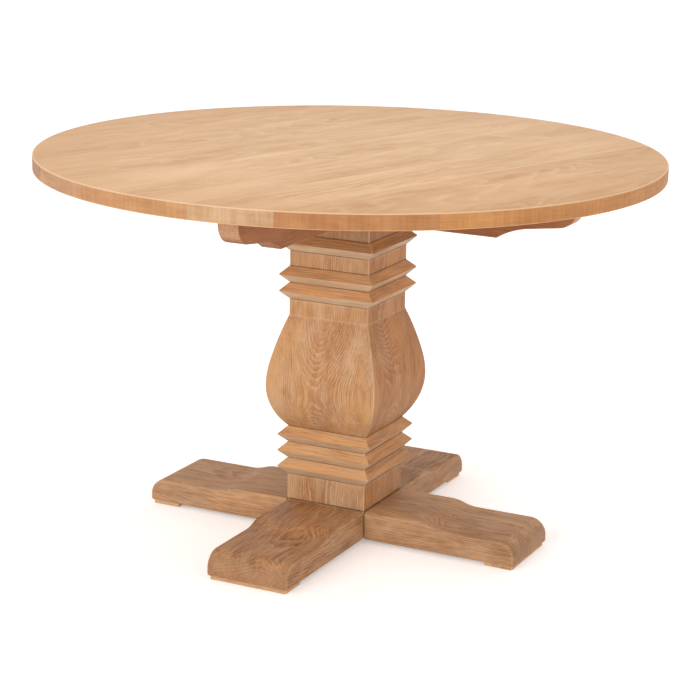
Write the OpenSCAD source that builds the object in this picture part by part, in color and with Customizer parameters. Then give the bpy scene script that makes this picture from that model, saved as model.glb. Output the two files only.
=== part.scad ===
// Round pedestal table: a glued-up round top on two crossed bearers, a hollow
// square pedestal of four mitred panels, and two crossed feet on low pads.
// The origin is on the floor at the pedestal's axis. +Z is up and -Y is the front.

/* [Table] */
// Height of the top face above the floor
table_h = 762; // [745:1:930]

/* [Table top] */
// Diameter of the round top
top_d = 1219.2; // [1000:0.1:1500]
// Thickness of the boards
top_t = 30; // [24:0.5:45]
// Width of the chamfer on the rim's two edges
top_ease = 3; // [1:0.5:8]
// Turn about Z of the direction across the boards, measured from +Y
board_turn = -108; // [-180:1:180]
// Glue seams across the boards, each a share of the top's radius
seam_share = [-0.837, -0.632, -0.413, -0.131, 0.071, 0.303, 0.536, 0.853]; // [-0.95:0.001:0.95]

/* [Bearers] */
// Length of each bearer
bearer_l = 956; // [820:1:1100]
// Width of a bearer
bearer_w = 42; // [34:0.5:60]
// Depth of a bearer in its middle
bearer_h = 101.5; // [85:0.5:125]
// Distance from the axis to where the underside starts to rise
cove_from = 318; // [260:1:340]
// Length of the hollow curve in the underside
cove_l = 67; // [50:1:80]
// Rise of the hollow curve
cove_rise = 24; // [15:0.5:30]
// Radius of the hollow curve
cove_r = 156; // [110:1:260]
// Slope of the underside from the hollow curve to the end
bearer_end_slope = 7.5; // [2:0.5:10]
// Radius under the bearer's end
bearer_end_r = 40; // [25:0.5:44]

/* [Pedestal] */
// Width across the pedestal's flat bands
neck_w = 171; // [150:0.5:210]
// Width of the square hollow inside
hollow_w = 137; // [110:0.5:145]
// Height of the plain band above the feet
plinth_h = 54; // [35:0.5:80]
// Projection of a ridge, which is also half its height
ridge_out = 16.5; // [10:0.5:20]
// Radius on a ridge's crest
ridge_r = 2; // [0.5:0.25:4]
// Width across the bulb at its widest
bulb_w = 238; // [210:1:260]
// Radius of the bulb below its widest point
bulb_low_r = 130; // [110:1:180]
// Radius of the bulb just above its widest point
bulb_high_r = 205; // [150:1:300]
// Angle at which the upper radius gives way to the tail
bulb_high_turn = 12.4; // [5:0.1:14]
// Radius of the bulb's long upper tail
bulb_tail_r = 670; // [400:5:1000]
// Height of the plain band above the bulb
neck_h = 32; // [20:0.5:50]
// Height of the plain band below the uppermost ridge
collar_h = 30; // [20:0.5:50]
// Height of the glued-in block under the bearers
top_block_h = 60; // [50:1:90]
// Height of the glued-in block above the feet
bottom_block_h = 90; // [80:1:120]

/* [Feet] */
// Length of each foot beam
foot_l = 810; // [700:1:950]
// Height of a foot beam at the pedestal
foot_h = 57.5; // [50:0.5:75]
// Drop from there to the beam's outer stretch
foot_drop = 10.3; // [5:0.1:14]
// Distance from the axis to where the drop starts
ogee_from = 200; // [150:1:230]
// Length of the drop's S-shaped curve
ogee_l = 58; // [40:1:80]
// Radius over the foot's end
foot_end_r = 33; // [20:0.5:40]
// Thickness of a foot pad
pad_t = 8; // [4:0.5:15]
// Length of a foot pad along its foot
pad_l = 58; // [45:1:80]
// Inset of a foot pad from the foot's end and sides
pad_inset = 5.2; // [2:0.1:10]

/* [Fastenings] */
// Diameter of the bolts in the base and the bearers
bolt_d = 10; // [8:1:12]
// Distance of each base bolt from the middle planes
base_bolt_at = 42; // [30:1:48]
// Depth of the recess for a bolt head
bolt_recess = 14; // [12:0.5:18]
// Length of a threaded insert
insert_l = 30; // [20:1:40]
// Diameter of the screws that hold the top
top_screw_d = 5; // [4:0.5:6]
// Distances of the top's screws from the axis
top_screw_at = [215, 430]; // [130:1:450]
// Wood left between a top screw's washer and the top
top_screw_grip = 30; // [20:1:40]
// Diameter of the screws that hold the pads
pad_screw_d = 4; // [3:0.5:5]
// Length of the screws that hold the pads
pad_screw_l = 30; // [20:1:40]

/* [Fits] */
// Gap on each side of a bearer in its slot in the pedestal
slot_gap = 0.25; // [0.1:0.05:1]
// Radial clearance of a bolt or screw in a through hole
hole_gap = 0.75; // [0.25:0.25:1.5]
// Radial clearance of a thread in the wood or the insert that it holds
thread_gap = 0.05; // [0.02:0.01:0.1]

/* [Hidden] */
$fn = 96;

// Quarter turns about Z that take the front to each side
SIDES = ["front", "right", "back", "left"];
TURNS = [0, 90, 180, 270];
// Cutting shapes reach this far past what they cut
past = 1;

// Colours
top_wood = [0.83, 0.68, 0.52];
base_wood = [0.70, 0.50, 0.34];
inner_wood = [0.76, 0.62, 0.45];
steel = [0.70, 0.70, 0.72];
brass = [0.75, 0.62, 0.32];

// Heights above the floor
top_z = table_h - top_t;
bearer_z = top_z - bearer_h;
foot_top_z = pad_t + foot_h;
foot_lap_z = pad_t + foot_h / 2;
bearer_lap_z = bearer_z + bearer_h / 2;
ridge_h = 2 * ridge_out;
low_ridges_z = foot_top_z + plinth_h;
low_ridges = 3;
bulb_z = low_ridges_z + low_ridges * ridge_h;

// The bulb's outline is three arcs: below, above and the tail
bulb_out = (bulb_w - neck_w) / 2;
bulb_low_h = sqrt(pow(bulb_low_r, 2) - pow(bulb_low_r - bulb_out, 2));
bulb_wide_z = bulb_z + bulb_low_h;
bulb_high_h = bulb_high_r * sin(bulb_high_turn);
bulb_high_in = bulb_high_r * (1 - cos(bulb_high_turn));
tail_end_turn = acos(cos(bulb_high_turn) - (bulb_out - bulb_high_in) / bulb_tail_r);
tail_h = bulb_tail_r * (sin(tail_end_turn) - sin(bulb_high_turn));
bulb_top_z = bulb_wide_z + bulb_high_h + tail_h;
high_centre = [bulb_w / 2 - bulb_high_r, bulb_wide_z];
tail_centre = high_centre
    + (bulb_high_r - bulb_tail_r) * [cos(bulb_high_turn), sin(bulb_high_turn)];

// The two upper ridges and the single one above them
mid_ridges_z = bulb_top_z + neck_h;
mid_ridges = 2;
top_ridge_z = mid_ridges_z + mid_ridges * ridge_h + collar_h;

// Feet
foot_w = neck_w;
foot_end_h = foot_h - foot_drop;
ogee_r = (pow(ogee_l, 2) + pow(foot_drop, 2)) / (4 * foot_drop);
pad_w = foot_w - 2 * pad_inset;
pad_from = foot_l / 2 - pad_inset - pad_l;

// Bearers
top_r = top_d / 2;
cove_end = [cove_from + cove_l, cove_rise];
cove_chord = norm([cove_l, cove_rise]);
cove_turn = atan2(cove_rise, cove_l);
cove_centre = [cove_from + cove_l / 2, cove_rise / 2]
    + sqrt(pow(cove_r, 2) - pow(cove_chord / 2, 2)) * [sin(cove_turn), -cos(cove_turn)];
end_centre_x = bearer_l / 2 - bearer_end_r;
end_centre_z = cove_rise + (end_centre_x - cove_end[0]) * tan(bearer_end_slope)
    + bearer_end_r / cos(bearer_end_slope);
slot_w = bearer_w + 2 * slot_gap;

// Bolts, washers and inserts
bolt_r = bolt_d / 2;
bolt_head_h = 0.64 * bolt_d;
bolt_head_r = 0.94 * bolt_d;
washer_r = 1.1 * bolt_d;
washer_t = 2;
recess_r = washer_r + 2;
insert_r = 0.8 * bolt_d;
base_bolt_end_z = foot_top_z + insert_l + 8;
base_seat_z = pad_t + bolt_recess;
bearer_seat_z = top_z - bolt_recess;
bearer_bolt_end_z = bearer_z - insert_l - 8;

// Screws
screw_r = top_screw_d / 2;
screw_head_r = top_screw_d;
screw_head_h = 0.6 * top_screw_d;
screw_washer_r = 1.5 * top_screw_d;
screw_washer_t = 1.5;
screw_recess_r = screw_washer_r + 1.5;
screw_seat_z = top_z - top_screw_grip;
screw_end_z = top_z + 0.6 * top_t;
pad_screw_r = pad_screw_d / 2;
pad_head_r = pad_screw_d;
pad_head_z = 1;
pad_screw_y = pad_w / 4;

// Copies of its children at the four base bolts
module at_base_bolts() {
    for (x = [-1, 1], y = [-1, 1])
        translate([x * base_bolt_at, y * base_bolt_at, 0]) children();
}

// Copies at the screws of one bearer, which runs along X
module at_bearer_screws() {
    for (side = [-1, 1], at = top_screw_at)
        translate([side * at, 0, 0]) children();
}

// Copies at the top's screws, in both bearers
module at_top_screws() {
    for (turn = [0, 90])
        rotate([0, 0, turn]) at_bearer_screws() children();
}

// Copies at the two screws of the front pad
module at_pad_screws() {
    for (side = [-1, 1])
        translate([side * pad_screw_y, -(pad_from + pad_l / 2), 0]) children();
}

// A vertical cylinder between two heights
module post(r, z1, z2) {
    translate([0, 0, z1]) cylinder(r = r, h = z2 - z1);
}

// A flat ring between two heights
module ring(outer_r, inner_r, z1, z2) {
    difference() {
        post(outer_r, z1, z2);
        post(inner_r, z1 - past, z2 + past);
    }
}

// Table top

// Half section of the whole round top, with its two rim edges taken off
module top_section() {
    polygon([[0, 0], [top_r - top_ease, 0], [top_r, top_ease], [top_r, top_t - top_ease],
        [top_r - top_ease, top_t], [0, top_t]]);
}

// Board i of the top, counted from the left, cut from the round
module top_board(i) {
    edges = concat([-1.01], seam_share, [1.01]) * top_r;
    color(top_wood)
    difference() {
        intersection() {
            translate([0, 0, top_z]) rotate_extrude($fn = 720) top_section();
            rotate([0, 0, board_turn])
                translate([-top_d, edges[i - 1], top_z - past])
                    cube([2 * top_d, edges[i] - edges[i - 1], top_t + 2 * past]);
        }
        at_top_screws() post(screw_r + thread_gap, top_z - past, screw_end_z);
    }
}

// Bearers

// Side view of half a bearer, from the axis outwards
module bearer_half_section() {
    slope_end = end_centre_x + bearer_end_r * sin(bearer_end_slope);
    slope_end_z = end_centre_z - bearer_end_r * cos(bearer_end_slope);
    difference() {
        polygon([[-past, 0], [cove_from, 0], cove_end, [slope_end, slope_end_z],
            [bearer_l / 2, end_centre_z], [bearer_l / 2, bearer_h], [-past, bearer_h]]);
        translate(cove_centre) circle(r = cove_r);
    }
    intersection() {
        translate([end_centre_x, end_centre_z]) circle(r = bearer_end_r);
        translate([end_centre_x, 0]) square([bearer_end_r, end_centre_z]);
    }
}

// A whole bearer along X, with its screw holes
module bearer() {
    difference() {
        translate([0, bearer_w / 2, bearer_z])
            rotate([90, 0, 0])
                linear_extrude(height = bearer_w) {
                    bearer_half_section();
                    mirror([1, 0]) bearer_half_section();
                }
        at_bearer_screws() {
            post(screw_r + hole_gap, bearer_z, top_z + past);
            post(screw_recess_r, bearer_z - past, screw_seat_z);
        }
    }
}

// The half-lap cut, from a height upwards or downwards
module bearer_lap(z) {
    translate([-bearer_w / 2, -bearer_w, z]) cube([bearer_w, 2 * bearer_w, bearer_h]);
}

// Hole for the bolt through the crossing
module bearer_bolt_hole() {
    post(bolt_r + hole_gap, bearer_z - past, top_z);
    post(recess_r, bearer_seat_z, top_z + past);
}

// The lower bearer at the crossing
module bearer_front_back() {
    color(base_wood)
    difference() {
        rotate([0, 0, 90]) difference() {
            bearer();
            bearer_lap(bearer_lap_z);
        }
        bearer_bolt_hole();
    }
}

// The upper bearer at the crossing
module bearer_left_right() {
    color(base_wood)
    difference() {
        bearer();
        bearer_lap(bearer_lap_z - bearer_h);
        bearer_bolt_hole();
    }
}

// Pedestal

// One ridge with a rounded crest, standing on the line x = neck_w / 2
module ridge(z) {
    crest = neck_w / 2 + ridge_out;
    flat = ridge_r / sqrt(2);
    polygon([[hollow_w / 2, z], [neck_w / 2, z], [crest - flat, z + ridge_out - flat],
        [crest - flat, z + ridge_out + flat], [neck_w / 2, z + ridge_h],
        [hollow_w / 2, z + ridge_h]]);
    translate([crest - 2 * flat, z + ridge_out]) circle(r = ridge_r);
}

// A disc kept between two heights, outside the hollow
module arc_band(centre, r, z1, z2) {
    intersection() {
        translate(centre) circle(r = r, $fn = 360);
        translate([hollow_w / 2, z1]) square([bulb_w, z2 - z1]);
    }
}

// The bulb's section
module bulb() {
    arc_band([bulb_w / 2 - bulb_low_r, bulb_wide_z], bulb_low_r, bulb_z, bulb_wide_z);
    arc_band(high_centre, bulb_high_r, bulb_wide_z, bulb_wide_z + bulb_high_h);
    arc_band(tail_centre, bulb_tail_r, bulb_wide_z + bulb_high_h, bulb_top_z);
}

// Section of the pedestal's wall, x outwards and y up
module wall_section() {
    translate([hollow_w / 2, foot_top_z])
        square([(neck_w - hollow_w) / 2, top_z - foot_top_z]);
    for (i = [0 : low_ridges - 1]) ridge(low_ridges_z + i * ridge_h);
    for (i = [0 : mid_ridges - 1]) ridge(mid_ridges_z + i * ridge_h);
    ridge(top_ridge_z);
    bulb();
}

// The front panel: the wall between two mitres, slotted for a bearer
module pedestal_panel() {
    color(base_wood)
    difference() {
        intersection() {
            rotate([90, 0, -90])
                translate([0, 0, -bulb_w])
                    linear_extrude(height = 2 * bulb_w) wall_section();
            translate([0, 0, foot_top_z - past])
                linear_extrude(height = top_z - foot_top_z + 2 * past)
                    polygon([[0, 0], [-bulb_w, -bulb_w], [bulb_w, -bulb_w]]);
        }
        translate([-slot_w / 2, -bulb_w, bearer_z])
            cube([slot_w, bulb_w, bearer_h + past]);
    }
}

// The block inside the pedestal that the bearers rest on
module pedestal_top_block() {
    color(inner_wood)
    difference() {
        translate([-hollow_w / 2, -hollow_w / 2, bearer_z - top_block_h])
            cube([hollow_w, hollow_w, top_block_h]);
        post(insert_r, bearer_z - insert_l, bearer_z + past);
        post(bolt_r + hole_gap, bearer_bolt_end_z - past, bearer_z);
    }
}

// The block inside the pedestal that the feet are bolted to
module pedestal_bottom_block() {
    color(inner_wood)
    difference() {
        translate([-hollow_w / 2, -hollow_w / 2, foot_top_z])
            cube([hollow_w, hollow_w, bottom_block_h]);
        at_base_bolts() {
            post(insert_r, foot_top_z - past, foot_top_z + insert_l);
            post(bolt_r + hole_gap, foot_top_z, base_bolt_end_z + past);
        }
    }
}

// Feet

// Side view of half a foot beam, from the axis outwards
module foot_half_section() {
    ogee_mid = ogee_from + ogee_l / 2;
    ogee_end = ogee_from + ogee_l;
    translate([-past, 0]) square([ogee_from + past, foot_h]);
    intersection() {
        translate([ogee_from, foot_h - ogee_r]) circle(r = ogee_r);
        translate([ogee_from - past, 0]) square([ogee_l / 2 + past, foot_h]);
    }
    difference() {
        translate([ogee_mid, 0]) square([ogee_l / 2, foot_h - foot_drop / 2]);
        translate([ogee_end, foot_end_h + ogee_r]) circle(r = ogee_r);
    }
    translate([ogee_mid, 0]) square([foot_l / 2 - foot_end_r - ogee_mid, foot_end_h]);
    translate([ogee_mid, 0]) square([foot_l / 2 - ogee_mid, foot_end_h - foot_end_r]);
    translate([foot_l / 2 - foot_end_r, foot_end_h - foot_end_r])
        intersection() {
            circle(r = foot_end_r);
            translate([-past, -past]) square(foot_end_r + past);
        }
}

// A whole foot beam along X, with the pilot holes for its pads
module foot() {
    difference() {
        translate([0, foot_w / 2, pad_t])
            rotate([90, 0, 0])
                linear_extrude(height = foot_w) {
                    foot_half_section();
                    mirror([1, 0]) foot_half_section();
                }
        for (turn = [90, 270])
            rotate([0, 0, turn])
                at_pad_screws()
                    post(pad_screw_r + thread_gap, pad_t - past, pad_head_z + pad_screw_l + past);
    }
}

// The half-lap cut, from a height upwards or downwards
module foot_lap(z) {
    translate([-foot_w / 2, -foot_w, z]) cube([foot_w, 2 * foot_w, foot_h]);
}

// Holes for the base bolts
module base_bolt_holes() {
    at_base_bolts() {
        post(bolt_r + hole_gap, pad_t, foot_top_z + past);
        post(recess_r, pad_t - past, base_seat_z);
    }
}

// The lower foot beam at the crossing
module foot_front_back() {
    color(base_wood)
    difference() {
        rotate([0, 0, 90]) difference() {
            foot();
            foot_lap(foot_lap_z);
        }
        base_bolt_holes();
    }
}

// The upper foot beam at the crossing
module foot_left_right() {
    color(base_wood)
    difference() {
        foot();
        foot_lap(foot_lap_z - foot_h);
        base_bolt_holes();
    }
}

// The pad under the front foot, with countersunk screw holes
module foot_pad() {
    color(base_wood)
    difference() {
        translate([-pad_w / 2, -(pad_from + pad_l), 0]) cube([pad_w, pad_l, pad_t]);
        at_pad_screws() {
            post(pad_screw_r + thread_gap, -past, pad_t + past);
            post(pad_head_r + thread_gap, -past, pad_head_z);
            translate([0, 0, pad_head_z])
                cylinder(r1 = pad_head_r + thread_gap, r2 = pad_screw_r + thread_gap,
                    h = pad_head_r - pad_screw_r);
        }
    }
}

// Fastenings

// A hexagon-head bolt pointing up, its head's bearing face at z1
module bolt(z1, z2) {
    color(steel) {
        post(bolt_r, z1, z2);
        translate([0, 0, z1 - bolt_head_h]) cylinder(r = bolt_head_r, h = bolt_head_h, $fn = 6);
    }
}

// The bolt down through the bearers' crossing
module bearer_bolt() {
    mirror([0, 0, 1]) bolt(-(bearer_seat_z + washer_t), -bearer_bolt_end_z);
}

module bearer_bolt_washer() {
    color(steel) ring(washer_r, bolt_r + hole_gap, bearer_seat_z, bearer_seat_z + washer_t);
}

module bearer_insert() {
    color(brass) ring(insert_r, bolt_r + thread_gap, bearer_z - insert_l, bearer_z);
}

module base_bolts() {
    at_base_bolts() bolt(base_seat_z - washer_t, base_bolt_end_z);
}

module base_bolt_washers() {
    color(steel)
    at_base_bolts() ring(washer_r, bolt_r + hole_gap, base_seat_z - washer_t, base_seat_z);
}

module base_inserts() {
    color(brass)
    at_base_bolts() ring(insert_r, bolt_r + thread_gap, foot_top_z, foot_top_z + insert_l);
}

// Pan-head screws up through the bearers into the top
module top_screws() {
    under_washer = screw_seat_z - screw_washer_t;
    color(steel)
    at_top_screws() {
        post(screw_r, under_washer, screw_end_z);
        post(screw_head_r, under_washer - screw_head_h, under_washer);
    }
}

module top_screw_washers() {
    color(steel)
    at_top_screws()
        ring(screw_washer_r, screw_r + hole_gap, screw_seat_z - screw_washer_t, screw_seat_z);
}

// Countersunk screws up through the pads into the feet
module pad_screws() {
    color(steel)
    for (turn = TURNS)
        rotate([0, 0, turn])
            at_pad_screws() {
                post(pad_screw_r, pad_head_z, pad_head_z + pad_screw_l);
                translate([0, 0, pad_head_z])
                    cylinder(r1 = pad_head_r, r2 = pad_screw_r, h = pad_head_r - pad_screw_r);
            }
}

for (i = [1 : len(seam_share) + 1])
    top_board(i);
bearer_front_back();
bearer_left_right();
for (i = [0 : 3])
    rotate([0, 0, TURNS[i]]) pedestal_panel();
pedestal_top_block();
pedestal_bottom_block();
foot_front_back();
foot_left_right();
for (i = [0 : 3])
    rotate([0, 0, TURNS[i]]) foot_pad();
top_screws();
top_screw_washers();
bearer_bolt();
bearer_bolt_washer();
bearer_insert();
base_bolts();
base_bolt_washers();
base_inserts();
pad_screws();
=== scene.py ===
import math

import bmesh
import bpy
from mathutils import Matrix, Vector


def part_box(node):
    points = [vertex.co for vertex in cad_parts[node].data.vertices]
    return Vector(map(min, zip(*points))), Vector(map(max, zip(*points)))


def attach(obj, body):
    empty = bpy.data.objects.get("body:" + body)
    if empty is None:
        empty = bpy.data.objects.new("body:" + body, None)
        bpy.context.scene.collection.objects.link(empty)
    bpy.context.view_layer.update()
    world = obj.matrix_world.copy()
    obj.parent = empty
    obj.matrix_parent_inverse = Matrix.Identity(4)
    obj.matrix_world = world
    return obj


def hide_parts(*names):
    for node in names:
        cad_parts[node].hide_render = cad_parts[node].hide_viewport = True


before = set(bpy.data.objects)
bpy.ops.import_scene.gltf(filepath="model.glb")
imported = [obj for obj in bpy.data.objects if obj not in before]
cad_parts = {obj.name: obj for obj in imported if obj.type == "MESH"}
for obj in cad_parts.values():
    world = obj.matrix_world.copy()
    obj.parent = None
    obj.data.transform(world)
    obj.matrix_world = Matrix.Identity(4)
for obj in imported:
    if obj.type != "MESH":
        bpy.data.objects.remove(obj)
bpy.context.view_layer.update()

# The looks of the round pedestal table. Lengths are in metres, in the CAD model's frame:
# the origin is on the floor at the pedestal's axis, and -Y is the front.

MM = 0.001
UP = Vector((0, 0, 1))
PAST = 50 * MM  # how far a cutter runs past the wood

# Table top: nine boards glued edge to edge, running along BOARD_ANGLE from +X
TOP_LOW, TOP_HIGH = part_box("top_board_5")[0].z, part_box("top_board_5")[1].z
TOP_RADIUS = 609.6 * MM
BOARD_ANGLE = math.radians(72)
BOARD_ALONG = Vector((math.cos(BOARD_ANGLE), math.sin(BOARD_ANGLE), 0))
BOARD_ACROSS = Vector((math.sin(BOARD_ANGLE), -math.cos(BOARD_ANGLE), 0))
SEAM_SHARES = [-0.837, -0.632, -0.413, -0.131, 0.071, 0.303, 0.536, 0.853]
BOARD_EDGES = [-1.0, *SEAM_SHARES, 1.0]
BOARD_COUNT = len(SEAM_SHARES) + 1
BOARD_STEPS = 44
SEAM_EASE = 0.15 * MM
RIM_ROUND = 3 * MM
RIM_STEPS = 5

# Pedestal: four mitred panels round a square hollow
FOOT_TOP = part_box("pedestal_front")[0].z
NECK_HALF = 85.5 * MM
HOLLOW_HALF = 68.5 * MM
ARRIS = 2.4 * MM
FOOT_JOINT = 2.5 * MM
SLOT_WIDTH = 42.5 * MM
PANEL_COLUMNS = 8
# (direction in degrees, wear) over the first half of the rounded arris between two panels
ARRIS_WEAR = [(225, 1), (240, 0.8), (255, 0.5)]

# The ridges' undersides start at these heights
LOW_RIDGES = [119.5 * MM, 152.5 * MM, 185.5 * MM]
MID_RIDGES = [477.4 * MM, 510.4 * MM]
TOP_RIDGE = 573.4 * MM
RIDGE_OUT = 16.5 * MM
RIDGE_ROUND = 2 * MM
# Width of the dark line painted as shade into each inner corner, and the step between points near
# the ridges
CORNER_SHADE_WIDTH = 2.0 * MM
# Share of painted shadow from the table top over the top ridge's upper slope and the neck above
# it
TOP_SHADE = 0.25
# Marks for the faces of a ridge's lower and upper slope
UNDER, OVER = 0.5, 1.0

# The bulb's outline is three arcs, which meet at its widest height and at BULB_HIGH_TURN
BULB_LOW = 218.5 * MM
BULB_WIDE = 305.6 * MM
BULB_HALF = 119 * MM
BULB_LOW_R = 130 * MM
BULB_HIGH_R = 205 * MM
BULB_HIGH_TURN = math.radians(12.4)
BULB_TAIL_R = 670 * MM
BULB_STEPS = (22, 8, 20)

# Bearers, half lapped where they cross
BEARER_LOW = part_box("bearer_front_back")[0].z
BEARER_HALF = 478 * MM
BEARER_WIDTH = 42 * MM
BEARER_LAP = 681.25 * MM
BEARER_ARRIS = 1.8 * MM
COVE_FROM, COVE_TO = 318 * MM, 385 * MM
COVE_RISE = 24 * MM
COVE_OUT, COVE_DOWN, COVE_R = 402.7 * MM, 130.9 * MM, 156 * MM
BEARER_END_R = 40 * MM
BEARER_END_UP = 71.3 * MM
BEARER_END_SLOPE = 7.5

# Feet, half lapped under the pedestal, on low pads
FOOT_HALF = 405 * MM
FOOT_WIDTH = 171 * MM
FOOT_LOW = 8 * MM
FOOT_LAP = 36.75 * MM
FOOT_DROP = 10.3 * MM
FOOT_END_R = 33 * MM
FOOT_ARRIS = 5.2 * MM
OGEE_FROM = 200 * MM
OGEE_LENGTH = 58 * MM
SHOULDER_GAP = 2.3 * MM
GROOVE_DEPTH = 2.5 * MM
PAD_FROM, PAD_TO = 341.8 * MM, 399.8 * MM
PAD_HALF = 80.3 * MM
PAD_ARRIS = 1.6 * MM

# Holes for the hidden bolts and screws: radii, places and depths
BOLT_HOLE = 5.75 * MM
BOLT_RECESS = 13 * MM
BASE_BOLT_AT = 42 * MM
BASE_SEAT = 22 * MM
BEARER_SEAT = 718 * MM
TOP_SCREWS_AT = (-430 * MM, -215 * MM, 215 * MM, 430 * MM)
TOP_SCREW_HOLE = 3.25 * MM
TOP_SCREW_RECESS = 9 * MM
TOP_SCREW_SEAT = 702 * MM
PILOT_HOLE = 2.55 * MM
PILOT_DEPTH = 19 * MM
PAD_SCREW_OUT = 370.8 * MM
PAD_SCREW_SIDE = 40.15 * MM
PAD_SCREW_HOLE = 2.05 * MM
PAD_SCREW_END = 32 * MM
PAD_HEAD_HOLE = 4.05 * MM
PAD_HEAD_SEAT = 1 * MM


# ---------------------------------------------------------------- mesh helpers


def arc(cx, cz, radius, start, end, steps):
    """Points of an arc, from one angle to another in degrees."""
    turns = [math.radians(start + (end - start) * i / steps) for i in range(steps + 1)]
    return [(cx + radius * math.cos(a), cz + radius * math.sin(a)) for a in turns]


def turned(degrees, size=4):
    """The rotation by an angle about the upright axis."""
    return Matrix.Rotation(math.radians(degrees), size, "Z")


def show(name, data):
    """A new object in the scene."""
    obj = bpy.data.objects.new(name, data)
    bpy.context.scene.collection.objects.link(obj)
    return obj


def link(name, mesh, material, slot, *nodes):
    """Puts a finished mesh in the scene, in place of the CAD nodes it stands for."""
    obj = show(name, mesh)
    obj.data.materials.clear()
    obj.data.materials.append(material)
    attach(obj, "root")
    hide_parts(*nodes)


def smooth(mesh, angle=32):
    """Smooth shading, with edges sharper than the angle kept sharp."""
    mesh.polygons.foreach_set("use_smooth", [True] * len(mesh.polygons))
    mesh.set_sharp_from_angle(angle=math.radians(angle))


def loft(rings, rubbed_and_shaded, bands=None):
    """A closed mesh through rings of points. The second list gives each point's share of edge
    wear, which is painted shade where it is negative, and bands a mark for the faces between each
    ring and the next."""
    bm = bmesh.new()
    layer = bm.verts.layers.float.new("rubbed_and_shaded")
    band_layer = bm.faces.layers.float.new("ridge")
    bands = bands or [0.0] * len(rings)
    rows = []
    for ring, shares in zip(rings, rubbed_and_shaded):
        row = [bm.verts.new(p) for p in ring]
        for vert, share in zip(row, shares):
            vert[layer] = share
        rows.append(row)
    for a, b, band in zip(rows, rows[1:], bands):
        for i in range(len(a)):
            j = (i + 1) % len(a)
            bm.faces.new((a[i], a[j], b[j], b[i]))[band_layer] = band
    bm.faces.new(rows[0])
    bm.faces.new(rows[-1])
    bmesh.ops.remove_doubles(bm, verts=bm.verts, dist=1e-6)
    bmesh.ops.dissolve_degenerate(bm, edges=bm.edges, dist=1e-7)
    bmesh.ops.recalc_face_normals(bm, faces=bm.faces)
    return bm


def to_mesh(bm, name):
    """The bmesh as a new mesh."""
    mesh = bpy.data.meshes.new(name)
    bm.to_mesh(mesh)
    bm.free()
    return mesh


def evaluated(obj):
    """The object's mesh with its modifiers applied, and the object removed."""
    depsgraph = bpy.context.evaluated_depsgraph_get()
    mesh = bpy.data.meshes.new_from_object(obj.evaluated_get(depsgraph))
    bpy.data.objects.remove(obj)
    return mesh


def box_bm(low, high):
    """A box as a cutting mesh."""
    bm = bmesh.new()
    size = [b - a for a, b in zip(low, high)]
    middle = [(a + b) / 2 for a, b in zip(low, high)]
    bmesh.ops.create_cube(bm, matrix=Matrix.Translation(middle) @ Matrix.Diagonal((*size, 1)))
    return bm


def posts_bm(places, radius, low, high, top_radius=None):
    """Upright cylinders, or cones, at places (x, y), as one cutting mesh."""
    bm = bmesh.new()
    top_radius = radius if top_radius is None else top_radius
    for x, y in places:
        place = Matrix.Translation((x, y, (low + high) / 2))
        bmesh.ops.create_cone(bm, cap_ends=True, segments=40, radius1=radius,
                              radius2=top_radius, depth=high - low, matrix=place)
    return bm


def cut(mesh, cutter_bms):
    """The mesh less each cutting mesh in turn, with the cuts' slivers cleaned away."""
    obj = show("cutting", mesh)
    tools = []
    for bm in cutter_bms:
        tool = show("tool", to_mesh(bm, "tool"))
        tools.append(tool)
        step = obj.modifiers.new("cut", "BOOLEAN")
        step.operation = "DIFFERENCE"
        step.solver = "EXACT"
        step.object = tool
    bpy.context.view_layer.update()
    result = evaluated(obj)
    for tool in tools:
        bpy.data.objects.remove(tool)
    bm = bmesh.new()
    bm.from_mesh(result)
    bmesh.ops.remove_doubles(bm, verts=bm.verts, dist=5e-6)
    bmesh.ops.dissolve_degenerate(bm, edges=bm.edges, dist=5e-6)
    bm.to_mesh(result)
    bm.free()
    return result


# ---------------------------------------------------------------- table top


def rim_profile():
    """(radius, height, share of rim) from the top face round the eased rim to the bottom."""
    centre = TOP_RADIUS - RIM_ROUND
    upper, lower = [], []
    for i in range(RIM_STEPS + 1):
        a = math.pi / 2 * i / RIM_STEPS
        reach, rise = RIM_ROUND * math.sin(a), RIM_ROUND * math.cos(a)
        upper.append((centre + reach, TOP_HIGH - RIM_ROUND + rise, i / RIM_STEPS))
        lower.append((centre + rise, TOP_LOW + RIM_ROUND - reach, 1 - i / RIM_STEPS))
    return upper + lower


def board_point(index, share, ease, radius, z):
    """(across, along, height) of a profile point on a board's ring. The share of the way
    over the board is in equal turns, and a glued edge's own ring is drawn in by the ease."""
    low, high = BOARD_EDGES[index - 1] * TOP_RADIUS, BOARD_EDGES[index] * TOP_RADIUS
    if ease:
        across = high if share else low
        along = math.sqrt(max(0, (radius - ease) ** 2 - across ** 2))
        middle = (TOP_LOW + TOP_HIGH) / 2
        return across, along, middle + (z - middle) * (1 - ease / (TOP_HIGH - middle))
    start, end = -math.pi / 2, math.pi / 2
    if index > 1:
        start = math.asin(max(-1, (low + SEAM_EASE) / radius))
    if index < BOARD_COUNT:
        end = math.asin(min(1, (high - SEAM_EASE) / radius))
    turn = start + (end - start) * share
    return radius * math.sin(turn), radius * math.cos(turn), z


def pilot_holes():
    """Cutter for the holes in the boards' undersides that take the top's screws."""
    places = [(out, 0) for out in TOP_SCREWS_AT] + [(0, out) for out in TOP_SCREWS_AT]
    return posts_bm(places, PILOT_HOLE, TOP_LOW - 1 * MM, TOP_LOW + PILOT_DEPTH)


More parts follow.
